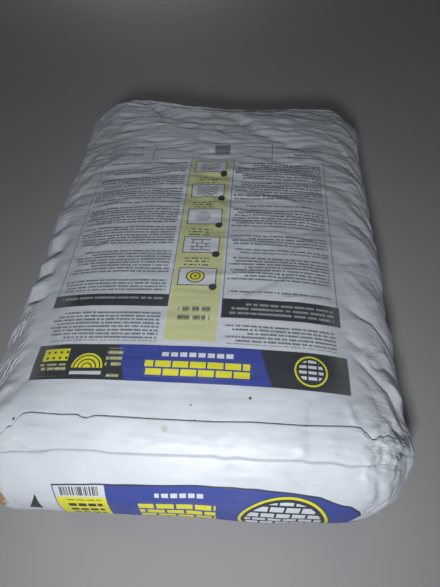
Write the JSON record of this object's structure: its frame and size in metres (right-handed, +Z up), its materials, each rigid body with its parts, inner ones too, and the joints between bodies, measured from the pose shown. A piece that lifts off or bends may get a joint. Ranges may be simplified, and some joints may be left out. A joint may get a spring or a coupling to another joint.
{
  "type": "cement bag",
  "caption": "Full paper sack of dry mortar mix lying flat: crowned top, bulging rounded sides and ends, folded and glued closures with small ears at the corners, flat underside.",
  "frame": {"origin": "middle of the flat underside, on the floor", "axes": "+Z up, +Y along the sack away from the end whose folded closure shows, +X across the sack"},
  "size_m": [0.4232, 0.61, 0.116],
  "materials": {
    "sack_paper": "satin white-coated kraft paper"
  },
  "bodies": {
    "root": {"sack": "sack_paper"}
  },
  "joints": []
}
